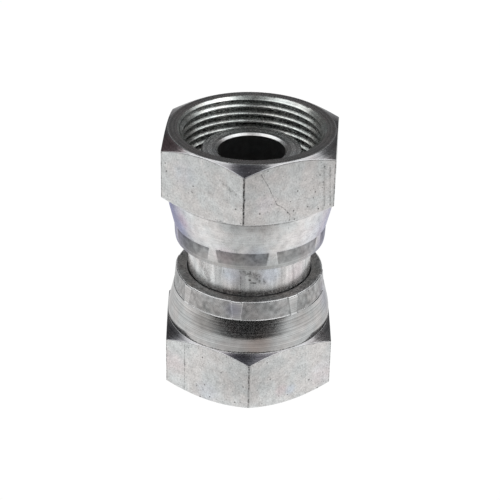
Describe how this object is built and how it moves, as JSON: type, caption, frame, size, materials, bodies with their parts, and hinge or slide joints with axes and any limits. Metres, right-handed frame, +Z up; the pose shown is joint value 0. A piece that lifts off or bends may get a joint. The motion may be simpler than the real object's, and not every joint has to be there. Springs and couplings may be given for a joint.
{
  "type": "straight hydraulic connector",
  "caption": "Straight hydraulic connector: a through-bored spigot with a sealing nose and a pressed-on hexagon swivel nut at each end.",
  "frame": {"origin": "centre of the lower nut's mouth face, on which the connector stands", "axes": "+Z up along the connector's axis, from the lower mouth to the upper one"},
  "size_m": [0.031, 0.0346, 0.049],
  "materials": {
    "nut_plating": "bright zinc plating with turning lines and fine pits",
    "spigot_plating": "bright zinc plating with faint blue passivation",
    "seal_rubber": "matt black rubber"
  },
  "bodies": {
    "spigot_body": {"spigot": "spigot_plating", "lower_o_ring": "seal_rubber", "upper_o_ring": "seal_rubber"},
    "lower_nut_body": {"lower_nut": "nut_plating"},
    "upper_nut_body": {"upper_nut": "nut_plating"}
  },
  "joints": [
    {"name": "lower_nut_swivel", "type": "hinge", "parent": "spigot_body", "child": "lower_nut_body", "pos_m": [0, 0, 0.0136], "axis": [0, 0, 1], "continuous": true},
    {"name": "upper_nut_swivel", "type": "hinge", "parent": "spigot_body", "child": "upper_nut_body", "pos_m": [0, 0, 0.03541], "axis": [0, 0, 1], "continuous": true}
  ]
}
